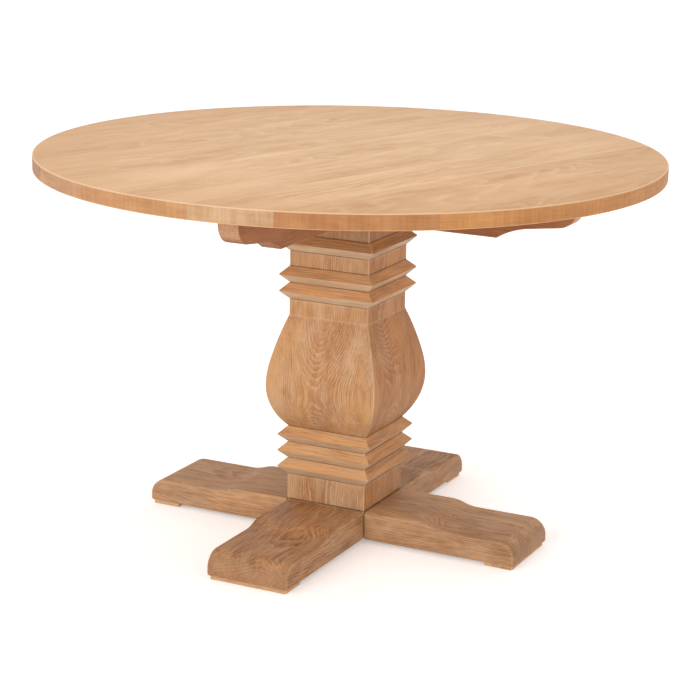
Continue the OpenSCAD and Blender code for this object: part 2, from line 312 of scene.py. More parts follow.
def board_mesh(index):
    """One board of the top, cut from the round, with faintly eased glue edges."""
    stations = [(i / BOARD_STEPS, 0) for i in range(BOARD_STEPS + 1)]
    if index > 1:
        stations.insert(0, (0, SEAM_EASE))
    if index < BOARD_COUNT:
        stations.append((1, SEAM_EASE))
    rings, rubbed_and_shaded = [], []
    for share, ease in stations:
        right, left, marks = [], [], []
        for radius, z, rim in rim_profile():
            across, along, height = board_point(index, share, ease, radius, z)
            right.append(BOARD_ACROSS * across + BOARD_ALONG * along + UP * height)
            left.append(BOARD_ACROSS * across - BOARD_ALONG * along + UP * height)
            marks.append(rim)
        rings.append(right + left[::-1])
        rubbed_and_shaded.append(marks + marks[::-1])
    mesh = cut(to_mesh(loft(rings, rubbed_and_shaded), f"board_{index}"), [pilot_holes()])
    smooth(mesh)
    return mesh


# ---------------------------------------------------------------- pedestal


def ridge_points(z, shade=0.0):
    """(half width, height, wear and painted shade, mark) over one ridge; the mark is for the face
    above. Positive values are pale rubbing. Negative values are painted shade: a dark line in
    each inner corner and over the top of the crest, and shade is a share of painted shadow from
    the table top that lies over the whole upper slope."""
    middle = z + RIDGE_OUT
    centre = NECK_HALF + RIDGE_OUT - RIDGE_ROUND * math.sqrt(2)
    crest = arc(centre, middle, RIDGE_ROUND, -45, 45, 4)
    rub_and_shading = [0.5, 0.3, -0.35, -0.2 - shade, -shade]
    marks = [UNDER, UNDER, OVER, OVER, OVER]
    points = [(w, h, k, m) for (w, h), k, m in zip(crest, rub_and_shading, marks)]
    inner = CORNER_SHADE_WIDTH * math.sqrt(0.5)
    foot = [(NECK_HALF, z, -1.0, UNDER), (NECK_HALF + inner, z + inner, 0.1, UNDER)]
    head = [(NECK_HALF + inner, 2 * middle - z - inner, 0.35 - 2 * shade, OVER),
            (NECK_HALF, 2 * middle - z, -1.0, 0.0)]
    return foot + points + head


def ridge_run(ridges, shade=0.0):
    """The points over a run of ridges, with points just below and just above it."""
    points = [(NECK_HALF, ridges[0] - 3 * CORNER_SHADE_WIDTH, 0.0, 0.0),
              (NECK_HALF, ridges[0] - CORNER_SHADE_WIDTH, 0.5, 0.0)]
    for z in ridges:
        points += ridge_points(z, shade)
    points.append((NECK_HALF, ridges[-1] + 2 * RIDGE_OUT + CORNER_SHADE_WIDTH, -shade, 0.0))
    return points


def bulb_points():
    """(half width, height, wear and painted shade, mark) up the bulb. A little painted shade lies
    under the bulb, growing towards its bottom, more in the corner below it, and the line where it
    meets the band above is worn."""
    low_centre = BULB_HALF - BULB_LOW_R
    low_start = math.degrees(math.acos((NECK_HALF - low_centre) / BULB_LOW_R))
    high_centre = BULB_HALF - BULB_HIGH_R
    turn = math.degrees(BULB_HIGH_TURN)
    shift = BULB_HIGH_R - BULB_TAIL_R
    tail_x = high_centre + shift * math.cos(BULB_HIGH_TURN)
    tail_z = BULB_WIDE + shift * math.sin(BULB_HIGH_TURN)
    tail_end = math.degrees(math.acos((NECK_HALF - tail_x) / BULB_TAIL_R))
    low_steps, high_steps, tail_steps = BULB_STEPS
    points = arc(low_centre, BULB_WIDE, BULB_LOW_R, -low_start, 0, low_steps)
    points += arc(high_centre, BULB_WIDE, BULB_HIGH_R, 0, turn, high_steps)[1:]
    points += arc(tail_x, tail_z, BULB_TAIL_R, turn, tail_end, tail_steps)[1:]
    below = [(BULB_WIDE - z) / (BULB_WIDE - BULB_LOW) for _, z in points]
    rub_and_shading = [-0.1 * max(0.0, share) for share in below]
    rub_and_shading[0], rub_and_shading[-1] = -0.6, 0.6
    return [(w, z, k, 0.0) for (w, z), k in zip(points, rub_and_shading)]


def wall_outline():
    """(half width, height, wear and painted shade, mark) of the pedestal's outside, from feet to
    top. Where two points share a height, the later one stays."""
    # The groove at the plinth's foot is painted dark as shade where it meets the feet
    points = [(NECK_HALF - FOOT_JOINT, FOOT_TOP, -1.0, 0),
              (NECK_HALF - 0.3 * FOOT_JOINT, FOOT_TOP + 0.7 * FOOT_JOINT, -1.0, 0),
              (NECK_HALF, FOOT_TOP + FOOT_JOINT, -0.3, 0),
              (NECK_HALF, FOOT_TOP + 1.5 * FOOT_JOINT, 0, 0)]
    points += ridge_run(LOW_RIDGES)[:-1]
    points += bulb_points()
    points.append((NECK_HALF, points[-1][1] + CORNER_SHADE_WIDTH, 0, 0))
    points += ridge_run(MID_RIDGES)
    points += ridge_run([TOP_RIDGE], TOP_SHADE)
    # Painted shadow from the table top, darkest at the top of the neck
    points.append((NECK_HALF, TOP_LOW, -2 * TOP_SHADE, 0))
    outline = [points[0]]
    for p in points[1:]:
        if abs(p[1] - outline[-1][1]) > 1e-6:
            outline.append(p)
        else:
            outline[-1] = p
    return outline


def panel_mesh(name, turn):
    """One mitred panel of the pedestal, made as the front one and turned into place."""
    rings, rubbed_and_shaded, bands = [], [], []
    for half, z, crest, mark in wall_outline():
        inner = half - ARRIS
        left = [(-inner + ARRIS * math.cos(math.radians(a)),
                 -inner + ARRIS * math.sin(math.radians(a)), max(k, crest))
                for a, k in ARRIS_WEAR]
        right = [(-x, y, k) for x, y, k in reversed(left)]
        face = [(-inner + 2 * inner * i / PANEL_COLUMNS, -half, crest)
                for i in range(PANEL_COLUMNS + 1)]
        back = [(HOLLOW_HALF, -HOLLOW_HALF, 0), (-HOLLOW_HALF, -HOLLOW_HALF, 0)]
        points = left + face + right + back
        rings.append([Vector((x, y, z)) for x, y, k in points])
        rubbed_and_shaded.append([k for x, y, k in points])
        bands.append(mark)
    slot = box_bm((-SLOT_WIDTH / 2, -NECK_HALF - PAST, BEARER_LOW),
                  (SLOT_WIDTH / 2, 0, TOP_LOW + PAST))
    mesh = cut(to_mesh(loft(rings, rubbed_and_shaded, bands), name), [slot])
    mesh.transform(turned(turn))
    smooth(mesh)
    return mesh


# ---------------------------------------------------------------- beams


def bevelled(outline, width, ease, name):
    """A beam along X from its side outline (x, z), with all its arrises eased."""
    bm = bmesh.new()
    sides = []
    for y in (-width / 2, width / 2):
        sides.append([bm.verts.new((x, y, z)) for x, z in outline])
    count = len(outline)
    for i in range(count):
        j = (i + 1) % count
        bm.faces.new((sides[0][i], sides[0][j], sides[1][j], sides[1][i]))
    bm.faces.new(sides[0])
    bm.faces.new(sides[1])
    bmesh.ops.recalc_face_normals(bm, faces=bm.faces)
    obj = show(name, to_mesh(bm, name))
    for kind in ("face", "arris"):
        obj.data.materials.append(bpy.data.materials.new(kind))
    step = obj.modifiers.new("ease", "BEVEL")
    step.width = ease
    step.segments = 4
    step.limit_method = "ANGLE"
    step.angle_limit = math.radians(40)
    step.material = 1
    mesh = evaluated(obj)
    mark_arrises(mesh)
    for kind in ("face", "arris"):
        bpy.data.materials.remove(bpy.data.materials[kind])
    return mesh


def mark_arrises(mesh):
    """Writes the wear attribute: 1 on points that only the eased arrises use."""
    flat = set()
    for face in mesh.polygons:
        if face.material_index == 0:
            flat.update(face.vertices)
        face.material_index = 0
    mark = mesh.attributes.new("rubbed_and_shaded", "FLOAT", "POINT")
    mark.data.foreach_set("value", [float(i not in flat) for i in range(len(mesh.vertices))])
    mesh.materials.clear()


def mirrored(half):
    """A whole outline from its half with x > 0."""
    return half + [(-x, z) for x, z in reversed(half)]


def bearer_outline():
    """Side outline of a bearer: a cove, a gentle slope and a rounded end under each end."""
    centre_z = BEARER_LOW - COVE_DOWN
    start = math.degrees(math.atan2(COVE_DOWN, COVE_FROM - COVE_OUT))
    end = math.degrees(math.atan2(COVE_DOWN + COVE_RISE, COVE_TO - COVE_OUT))
    half = arc(COVE_OUT, centre_z, COVE_R, start, end, 14)
    end_x, end_z = BEARER_HALF - BEARER_END_R, BEARER_LOW + BEARER_END_UP
    half += arc(end_x, end_z, BEARER_END_R, -90 + BEARER_END_SLOPE, 0, 14)
    half.append((BEARER_HALF, TOP_LOW))
    return mirrored(half)


def bearer_mesh(name, upper):
    """A bearer with its half-lap, its screw holes and the bolt's hole at the crossing."""
    low, high = (0, BEARER_LAP) if upper else (BEARER_LAP, 1)
    half = BEARER_WIDTH / 2
    under, over = BEARER_LOW - PAST, TOP_LOW + PAST
    screws = [(out, 0) for out in TOP_SCREWS_AT]
    cutters = [
        box_bm((-half, -half - PAST, low), (half, half + PAST, high)),
        posts_bm(screws, TOP_SCREW_HOLE, under, over),
        posts_bm(screws, TOP_SCREW_RECESS, under, TOP_SCREW_SEAT),
        posts_bm([(0, 0)], BOLT_HOLE, under, over),
        posts_bm([(0, 0)], BOLT_RECESS, BEARER_SEAT, over)]
    mesh = cut(bevelled(bearer_outline(), BEARER_WIDTH, BEARER_ARRIS, name), cutters)
    if not upper:
        mesh.transform(turned(90))
    smooth(mesh)
    return mesh


def foot_outline():
    """Side outline of a foot beam: an S-shaped drop and a well-rounded end at each end."""
    end_high = FOOT_TOP - FOOT_DROP
    radius = (OGEE_LENGTH ** 2 + FOOT_DROP ** 2) / (4 * FOOT_DROP)
    turn = math.degrees(math.asin(OGEE_LENGTH / 2 / radius))
    half = arc(OGEE_FROM, FOOT_TOP - radius, radius, 90, 90 - turn, 10)
    half += arc(OGEE_FROM + OGEE_LENGTH, end_high + radius, radius, 270 - turn, 270, 10)[1:]
    half += arc(FOOT_HALF - FOOT_END_R, end_high - FOOT_END_R, FOOT_END_R, 90, 0, 14)
    half.append((FOOT_HALF, FOOT_LOW))
    return mirrored(half)


def joint_grooves():
    """Cutters for the groove across the upper foot's top and down its sides, on both sides
    of the pedestal, which carries the lower foot's shoulder line up."""
    edge = FOOT_WIDTH / 2
    far, inner = edge + PAST, edge - GROOVE_DEPTH
    high = FOOT_TOP + PAST
    grooves = []
    for side in (-1, 1):
        x0, x1 = sorted((side * edge, side * (edge + SHOULDER_GAP)))
        grooves.append(box_bm((x0, -far, FOOT_TOP - GROOVE_DEPTH), (x1, far, high)))
        grooves.append(box_bm((x0, -far, 0), (x1, -inner, high)))
        grooves.append(box_bm((x0, inner, 0), (x1, far, high)))
    return grooves


def foot_mesh(name, upper):
    """A foot beam with its half-lap, the bolts' holes and recesses and the pads' screw holes.
    The lap is a little wide, which leaves a shadow line beside each shoulder."""
    edge = FOOT_WIDTH / 2
    low, high = (-PAST, FOOT_LAP) if upper else (FOOT_LAP, FOOT_TOP + PAST)
    half = edge + SHOULDER_GAP
    bolts = [(x, y) for x in (-BASE_BOLT_AT, BASE_BOLT_AT) for y in (-BASE_BOLT_AT, BASE_BOLT_AT)]
    screws = [(x, y) for x in (-PAD_SCREW_OUT, PAD_SCREW_OUT)
              for y in (-PAD_SCREW_SIDE, PAD_SCREW_SIDE)]
    cutters = [
        box_bm((-half, -edge - PAST, low), (half, edge + PAST, high)),
        posts_bm(bolts, BOLT_HOLE, -PAST, FOOT_TOP + PAST),
        posts_bm(bolts, BOLT_RECESS, -PAST, BASE_SEAT),
        posts_bm(screws, PAD_SCREW_HOLE, -PAST, PAD_SCREW_END)]
    if upper:
        cutters += joint_grooves()
    mesh = cut(bevelled(foot_outline(), FOOT_WIDTH, FOOT_ARRIS, name), cutters)
    if not upper:
        mesh.transform(turned(90))
    smooth(mesh)
    return mesh


def pad_mesh(name, turn):
    """The pad under the front foot's end, with two countersunk screw holes, turned in place.
    The countersink's cone runs on a little inside the hole, so that the two cuts cross."""
    outline = [(-PAD_TO, 0), (-PAD_TO, FOOT_LOW), (-PAD_FROM, FOOT_LOW), (-PAD_FROM, 0)]
    mesh = bevelled(outline, 2 * PAD_HALF, PAD_ARRIS, name)
    mesh.transform(turned(90))
    screws = [(-PAD_SCREW_SIDE, -PAD_SCREW_OUT), (PAD_SCREW_SIDE, -PAD_SCREW_OUT)]
    tip = PAD_SCREW_HOLE - 1 * MM
    tip_high = PAD_HEAD_SEAT + PAD_HEAD_HOLE - tip
    mesh = cut(mesh, [
        posts_bm(screws, PAD_SCREW_HOLE, -PAST, FOOT_LOW + PAST),
        posts_bm(screws, PAD_HEAD_HOLE, -PAST, PAD_HEAD_SEAT),
        posts_bm(screws, PAD_HEAD_HOLE, PAD_HEAD_SEAT, tip_high, tip)])
    mesh.transform(turned(turn))
    smooth(mesh)
    return mesh


# ---------------------------------------------------------------- node helpers


class Tree:
    """Short calls for building a node tree."""

    def __init__(self, tree):
        self.tree = tree

    def put(self, socket, value):
        if isinstance(value, bpy.types.NodeSocket):
            self.tree.links.new(value, socket)
        else:
            socket.default_value = value

    def node(self, kind, **settings):
        made = self.tree.nodes.new(kind)
        for name, value in settings.items():
            setattr(made, name, value)
        return made

    def math(self, operation, a, b=0.0, c=0.0, clamp=False):
        made = self.node("ShaderNodeMath", operation=operation, use_clamp=clamp)
        for socket, value in zip(made.inputs, (a, b, c)):
            self.put(socket, value)
        return made.outputs[0]

    def vector(self, operation, a, b=(0, 0, 0)):
        made = self.node("ShaderNodeVectorMath", operation=operation)
        self.put(made.inputs[0], a)
        self.put(made.inputs[1], b)
        return made.outputs[0]

    def noise(self, at, stretch, detail=2.0, rough=0.5, offset=(0, 0, 0)):
        """Signed noise, about -1 to 1, of the place scaled by stretch per metre."""
        place = self.vector("ADD", self.vector("MULTIPLY", at, stretch), offset)
        made = self.node("ShaderNodeTexNoise")
        self.put(made.inputs["Vector"], place)
        made.inputs["Scale"].default_value = 1.0
        made.inputs["Detail"].default_value = detail
        made.inputs["Roughness"].default_value = rough
        return self.math("MULTIPLY_ADD", made.outputs["Fac"], 4.0, -2.0)

    def range(self, value, low, high, to_low=0.0, to_high=1.0):
        """The value mapped smoothly from one range to another, and held at its ends."""
        made = self.node("ShaderNodeMapRange", interpolation_type="SMOOTHSTEP")
        for socket, number in zip(made.inputs, (value, low, high, to_low, to_high)):
            self.put(socket, number)
        return made.outputs[0]

    def mix(self, share, a, b):
        made = self.node("ShaderNodeMix", data_type="RGBA", blend_type="MIX")
        made.clamp_factor = True
        self.put(made.inputs["Factor"], share)
        self.put(made.inputs["A"], a)
        self.put(made.inputs["B"], b)
        return made.outputs["Result"]

    def split(self, vector):
        made = self.node("ShaderNodeSeparateXYZ")
        self.put(made.inputs[0], vector)
        return made.outputs[0], made.outputs[1], made.outputs[2]

    def join(self, x, y, z):
        made = self.node("ShaderNodeCombineXYZ")
        for socket, value in zip(made.inputs, (x, y, z)):
            self.put(socket, value)
        return made.outputs[0]

    def place(self, output="Object"):
        """The place, or the normal, in the object's own coordinates."""
        return self.node("ShaderNodeTexCoord").outputs[output]

    def mark(self, name):
        """A value that the mesh carries."""
        return self.node("ShaderNodeAttribute", attribute_name=name).outputs["Fac"]

    def finish(self, color, roughness, height, bump, distance, **settings):
        """The shader, with its bump in metres, and any fixed settings of its own."""
        bumped = self.node("ShaderNodeBump")
        bumped.inputs["Strength"].default_value = bump
        bumped.inputs["Distance"].default_value = distance
        self.put(bumped.inputs["Height"], height)
        shader = self.node("ShaderNodeBsdfPrincipled")
        self.put(shader.inputs["Base Color"], color)
        self.put(shader.inputs["Roughness"], roughness)
        self.put(shader.inputs["Normal"], bumped.outputs[0])
        for name, value in settings.items():
            shader.inputs[name.replace("_", " ")].default_value = value
        self.put(self.node("ShaderNodeOutputMaterial").inputs["Surface"], shader.outputs[0])


def new_material(name):
    """A material with no nodes yet, and the tree to put them in."""
    material = bpy.data.materials.new(name)
    material.use_nodes = True
    material.node_tree.nodes.clear()
    return material, Tree(material.node_tree)


def linear(red, green, blue):
    """A colour given as 0 to 255 screen values, as linear light with alpha."""
    shares = [c / 255 for c in (red, green, blue)]
    return (*[c / 12.92 if c <= 0.04045 else ((c + 0.055) / 1.055) ** 2.4 for c in shares], 1.0)


def toned(color, tone, warm=0.0):
    """The colour made darker by tone, and warmer by taking off a share of green and blue."""
    red, green, blue = [c * tone for c in color[:3]]
    return (red, green * (1 - 0.05 * warm), blue * (1 - 0.12 * warm), 1.0)


# ---------------------------------------------------------------- wood


def ring_marks(t, at, spacing, warp):
    """Growth rings, from the distance to a wandering pith: how far each place is in the dark
    late wood and in the open early wood, and patches in which the rings show strongly."""
    _, y, z = t.split(at)
    sway = t.math("MULTIPLY", t.noise(at, (1.6, 7, 7), 1.0), warp)
    sway_z = t.math("MULTIPLY", t.noise(at, (1.9, 8, 8), 1.0, offset=(7, 3, 5)), warp)
    ripple = t.math("MULTIPLY", t.noise(at, (11, 32, 32), 3.0, offset=(3, 9, 1)), 0.0022)
    tremble = t.math("MULTIPLY", t.noise(at, (30, 300, 300), 2.0), 0.0003)
    py = t.math("ADD", y, sway)
    pz = t.math("ADD", z, sway_z)
    squares = t.math("ADD", t.math("MULTIPLY", py, py), t.math("MULTIPLY", pz, pz))
    out = t.math("ADD", t.math("SQRT", squares), t.math("ADD", ripple, tremble))
    uneven = t.math("MULTIPLY", t.noise(t.join(0.0, out, 0.0), (1, 60, 1), 1.0), 0.5)
    phase = t.math("ADD", t.math("DIVIDE", out, spacing), uneven)
    ring = t.math("FRACT", phase)
    late = t.math("MULTIPLY", t.range(ring, 0.35, 0.9), t.range(ring, 1.0, 0.93))
    early = t.math("MULTIPLY", t.range(ring, 0.42, 0.12), t.range(ring, 0.0, 0.06))
    patches = t.range(t.noise(at, (6, 26, 26), 2.0, offset=(1, 8, 2)), -0.7, 0.9, 0.25, 1.0)
    return late, early, patches


def dark_wood(t, at, given, late, patches, streak):
    """The share of the dark tone: late wood, fibres, clouds of stain and small mottles."""
    cloud = t.noise(at, (2.2, 13, 13), 3.0, 0.55, offset=(9, 1, 4))
    mottle = t.noise(at, (18, 48, 48), 4.0, 0.65, offset=(5, 5, 1))
    share = t.math("MULTIPLY", t.math("MULTIPLY", late, patches), given["Figure"])
    share = t.math("MULTIPLY_ADD", streak, given["Fibre"], share)
    share = t.math("MULTIPLY_ADD", cloud, given["Cloud"], share)
    share = t.math("MULTIPLY_ADD", mottle, given["Mottle"], share)
    return t.math("ADD", share, 0.35, clamp=True)


def lime_wash(t, at, given, early, patches, pores):
    """The share of pale lime: in the early wood, in the pores and in a thin uneven wash."""
    wash = t.range(t.noise(at, (10, 24, 24), 4.0, 0.65, offset=(8, 8, 6)), -0.5, 0.9)
    lime = t.math("MULTIPLY", t.math("MULTIPLY", early, patches), 0.55)
    lime = t.math("ADD", lime, t.math("MULTIPLY", pores, 0.4))
    lime = t.math("MULTIPLY_ADD", wash, 0.4, lime)
    return t.math("MULTIPLY", lime, given["Lime"], clamp=True)


def grain_group():
    """Limed, wire-brushed solid wood. X is along the grain and the pith is the X axis."""
    group = bpy.data.node_groups.new("limed_wood", "ShaderNodeTree")
    face = group.interface
    face.new_socket("Vector", in_out="INPUT", socket_type="NodeSocketVector")
    for name in ("Base", "Dark", "Pale"):
        face.new_socket(name, in_out="INPUT", socket_type="NodeSocketColor")
    for name in ("Spacing", "Figure", "Lime", "Fibre", "Cloud", "Mottle", "Warp"):
        face.new_socket(name, in_out="INPUT", socket_type="NodeSocketFloat")
    face.new_socket("Color", in_out="OUTPUT", socket_type="NodeSocketColor")
    for name in ("Height", "Roughness"):
        face.new_socket(name, in_out="OUTPUT", socket_type="NodeSocketFloat")
    t = Tree(group)
    given = t.node("NodeGroupInput").outputs
    at = given["Vector"]
    late, early, patches = ring_marks(t, at, given["Spacing"], given["Warp"])
    fibre = t.noise(at, (9, 150, 150), 4.0, 0.7)
    thread = t.noise(at, (22, 620, 620), 2.0, 0.6, offset=(4, 2, 8))
    streak = t.math("ADD", t.math("MULTIPLY", fibre, 0.75), t.math("MULTIPLY", thread, 0.25))
    pores = t.range(t.noise(at, (26, 340, 340), 3.0, 0.65, offset=(2, 6, 3)), 0.1, 0.7)
    dark_share = dark_wood(t, at, given, late, patches, streak)
    pale_share = lime_wash(t, at, given, early, patches, pores)
    color = t.mix(dark_share, given["Base"], given["Dark"])

    # Brushing lowers the early wood and the pores
    height = t.math("MULTIPLY_ADD", early, -0.6, t.math("MULTIPLY", late, 0.5))
    height = t.math("MULTIPLY_ADD", streak, 0.35, height)
    height = t.math("MULTIPLY_ADD", pores, -0.4, height)
    rough = t.math("MULTIPLY_ADD", pale_share, 0.12, 0.56)
    end = t.node("NodeGroupOutput").inputs
    t.put(end["Color"], t.mix(pale_share, color, given["Pale"]))
    t.put(end["Height"], height)
    t.put(end["Roughness"], t.math("MULTIPLY_ADD", streak, 0.04, rough))
    return group


GRAIN = grain_group()


def grain_place(t, along, up, pith):
    """Object coordinates turned so that X is along the grain and the pith is the X axis."""
    along, up = Vector(along).normalized(), Vector(up).normalized()
    side = up.cross(along).normalized()
    turn = Matrix((along, side, along.cross(side)))
    mapping = t.node("ShaderNodeMapping")
    t.put(mapping.inputs["Vector"], t.place())
    mapping.inputs["Rotation"].default_value = turn.to_euler("XYZ")
    mapping.inputs["Location"].default_value = -(turn @ Vector(pith))
    return mapping.outputs[0]


def ridge_place(t, at, mark, ridges, up, pith):
    """The grain's place, which on the slopes of the ridges runs along them."""
    swap = t.node("ShaderNodeMix", data_type="VECTOR")
    t.put(swap.inputs["Factor"], t.math("GREATER_THAN", mark, UNDER / 2))
    a, b = [socket for socket in swap.inputs if socket.type == "VECTOR"][-2:]
    t.put(a, at)
    t.put(b, grain_place(t, ridges, up, pith * 0.1 + up * 0.04))
    return [socket for socket in swap.outputs if socket.type == "VECTOR"][0]


def ridge_lime_and_light(t, at, mark, color, pale):
    """Worked lime under the ridges and amber over them, each partly the finish and partly painted
    light: the lower slopes lightened as if lit from the floor, the upper ones warmed as if by
    light off the top's underside.
    """
    over = t.math("GREATER_THAN", mark, (UNDER + OVER) / 2)
    under = t.math("SUBTRACT", t.math("GREATER_THAN", mark, UNDER / 2), over)
    # Pale lime on the lower slopes, partly painted light from the floor
    lime_and_light = t.range(t.noise(at, (12, 90, 90), 3.0, 0.6, offset=(2, 2, 9)), -0.8, 0.8, 0.2, 0.8)
    color = t.mix(t.math("MULTIPLY", under, lime_and_light), color, pale)
    # Amber on the upper slopes, partly painted warm light off the top's underside
    amber_and_light = t.math("SUBTRACT", 0.9, lime_and_light)
    return t.mix(t.math("MULTIPLY", over, amber_and_light), color, linear(208, 149, 95))


def rubbed_arrises_and_shade(t, at, rubbed_and_shaded, color, dark, pale, rub_and_shading):
    """Arrises rubbed pale where the wear is positive, and dark painted shade where it's negative.
    """
    patchy = t.range(t.noise(at, (18, 60, 60), 2.0), -0.9, 0.6, 0.3, 1.0)
    share = t.math("MULTIPLY", t.math("MULTIPLY", rubbed_and_shaded, patchy), rub_and_shading, clamp=True)
    color = t.mix(share, color, pale)
    # The painted shade: an uneven deep tone of the dark wood in corners and under the top
    uneven = t.math("MULTIPLY_ADD", patchy, 0.4, 0.55)
    darkening = t.math("MULTIPLY", t.math("MULTIPLY", rubbed_and_shaded, uneven), -1.0, clamp=True)
    return t.mix(darkening, color, toned(dark, 0.36))


def rim_stain_and_shading(t, rubbed_and_shaded, color, darkening, dark, pale, rub_and_shading):
    """The cut edge of a table board: darker stain with upright end-grain marks. The face itself
    is painted a little darker towards the rim as shade, and the lip between them is rubbed pale,
    partly wear and partly a painted highlight where it faces up."""
    place = t.place()
    reach = t.node("ShaderNodeVectorMath", operation="LENGTH")
    t.put(reach.inputs[0], t.vector("MULTIPLY", place, (1, 1, 0)))
    # Painted shade: the face darkens a little towards the rim
    rim_shade_reach = t.math("MULTIPLY_ADD", t.noise(place, (4, 4, 4), 2.0), 0.04, reach.outputs["Value"])
    color = t.mix(t.range(rim_shade_reach, 0.35, 0.62, 0.0, 0.38), color, dark)
    blotch = t.noise(place, (13, 13, 22), 3.0, 0.6)
    upright = t.noise(place, (170, 170, 9), 3.0, 0.6, offset=(3, 1, 7))
    level = t.noise(place, (16, 16, 260), 2.0, 0.6, offset=(1, 5, 2))
    marks = t.math("ADD", t.math("MULTIPLY", blotch, 0.24), t.math("MULTIPLY", upright, 0.16))
    marks = t.math("MULTIPLY_ADD", level, 0.12, marks)
    deep = tuple(c * k for c, k in zip(darkening, (0.74, 0.62, 0.52, 1.0)))
    light = tuple(min(1, c * k) for c, k in zip(darkening, (1.18, 1.24, 1.30, 1.0)))
    edge = t.mix(t.range(marks, -0.45, 0.45), deep, light)
    color = t.mix(t.math("MULTIPLY", t.range(rubbed_and_shaded, 0.3, 0.95), 0.9), color, edge)
    # The lip: rubbed wear and a painted highlight, only where it faces up
    lip_rub_and_highlight = t.math("MULTIPLY", t.range(rubbed_and_shaded, 0.0, 0.35), t.range(rubbed_and_shaded, 1.0, 0.5))
    facing = t.split(t.place("Normal"))[2]
    lip_rub_and_highlight = t.math("MULTIPLY", lip_rub_and_highlight, t.range(facing, 0.0, 0.2))
    return t.mix(t.math("MULTIPLY", lip_rub_and_highlight, rub_and_shading), color, pale)


def end_grain(t, at, along, color, height, share, end_color):
    """The colour and height with end grain, flatter and specked, on faces across the grain."""
    facing = t.node("ShaderNodeVectorMath", operation="DOT_PRODUCT")
    t.put(facing.inputs[0], t.place("Normal"))
    facing.inputs[1].default_value = along.normalized()
    cut_end = t.range(t.math("ABSOLUTE", facing.outputs["Value"]), 0.55, 0.9)
    height = t.math("MULTIPLY", height, t.math("MULTIPLY_ADD", cut_end, -0.85, 1.0))
    specks = t.noise(at, (200, 200, 200), 3.0, 0.65)
    cut_end = t.math("MULTIPLY", cut_end, t.range(specks, -1.0, 0.8, 0.5, 1.0))
    return t.mix(t.math("MULTIPLY", cut_end, share), color, end_color), height


def wood(name, along, up, pith, base, dark, pale, spacing, figure, lime, fibre, cloud,
         mottle=0.2, warp=0.008, rim=None, ridges=None, ends=None, rub_and_shading=0.5, bump=0.25):
    """A wood for one piece. along is the grain's direction, up the way out from the pith,
    and pith a point on it. The numbers are the rings' spacing and the shares of each kind of
    mark. rim is the stain of a table board's cut edge, ridges the direction that the grain
    takes on the pedestal's ridges, and ends the share and colour of the end grain."""
    material, t = new_material(name)
    along, up, pith = Vector(along), Vector(up), Vector(pith)
    at = grain_place(t, along, up, pith)
    if ridges:
        mark = t.mark("ridge")
        at = ridge_place(t, at, mark, ridges, up, pith)
    grain = t.node("ShaderNodeGroup", node_tree=GRAIN)
    settings = {"Vector": at, "Base": base, "Dark": dark, "Pale": pale, "Spacing": spacing,
                "Figure": figure, "Lime": lime, "Fibre": fibre, "Cloud": cloud,
                "Mottle": mottle, "Warp": warp}
    for key, value in settings.items():
        t.put(grain.inputs[key], value)
    color, height = grain.outputs["Color"], grain.outputs["Height"]
    if ridges:
        color = ridge_lime_and_light(t, at, mark, color, pale)
    if rim:
        color = rim_stain_and_shading(t, t.mark("rubbed_and_shaded"), color, rim, dark, pale, rub_and_shading)
    else:
        color = rubbed_arrises_and_shade(t, at, t.mark("rubbed_and_shaded"), color, dark, pale, rub_and_shading)
    if ends:
        color, height = end_grain(t, at, along, color, height, *ends)
    t.finish(color, grain.outputs["Roughness"], height, bump, 0.4 * MM,
             Specular_IOR_Level=0.25)
    return material


def metal(name, color, rough):
    """Plated or turned metal with fine turning marks and dull patches."""
    material, t = new_material(name)
    at = t.place()
    dull = t.noise(at, (400, 400, 400), 3.0)
    marks = t.noise(at, (300, 300, 4000), 1.0)
    dark = tuple(c * 0.72 for c in color[:3]) + (1.0,)
    t.finish(t.mix(t.range(dull, -0.8, 1.2), color, dark),
             t.math("MULTIPLY_ADD", dull, 0.06, rough), marks, 0.15, 0.1 * MM, Metallic=1.0)
    return material


# ---------------------------------------------------------------- the pieces

# Each board's pith as (share of its width, height over the face), tone, warmth, rim's stain
BOARDS = [
    (0.4, -0.060, 0.94, 1.0, (166, 128, 92)),
    (0.6, -0.090, 0.96, 0.9, (164, 125, 88)),
    (0.3, 0.070, 0.95, 0.6, (150, 110, 77)),
    (0.5, -0.055, 0.98, 0.2, (168, 126, 91)),
    (0.2, -0.110, 1.00, 0.0, (168, 121, 79)),
    (0.7, 0.080, 0.98, 0.2, (170, 125, 82)),
    (0.4, -0.070, 0.97, 0.6, (172, 137, 102)),
    (0.6, -0.065, 0.93, 1.2, (158, 106, 63)),
    (0.3, 0.090, 0.90, 1.4, (169, 115, 64)),
]

# Each panel's side, turn, share of rings, share of lime, tone and warmth
PANELS = [
    ("front", 0, 0.38, 0.85, 0.94, 0.0),
    # The right panel's lower tone is partly its own wood and partly painted shade on the side
    # turned from the key light
    ("right", 90, 0.35, 0.42, 0.83, 1.1),
    ("back", 180, 0.5, 0.7, 0.97, 0.2),
    ("left", 270, 0.45, 0.7, 0.97, 0.0),
]

# Each beam's name, whether it's the upper one where the two cross, and its direction
BEAMS = [("front_back", False, (0, 1, 0)), ("left_right", True, (1, 0, 0))]

# Each foot's base, dark and end-grain colours
FOOT_COLORS = {
    "front_back": (linear(175, 125, 82), linear(123, 79, 44), linear(142, 100, 68)),
    "left_right": (linear(184, 139, 98), linear(137, 95, 61), linear(128, 92, 62)),
}


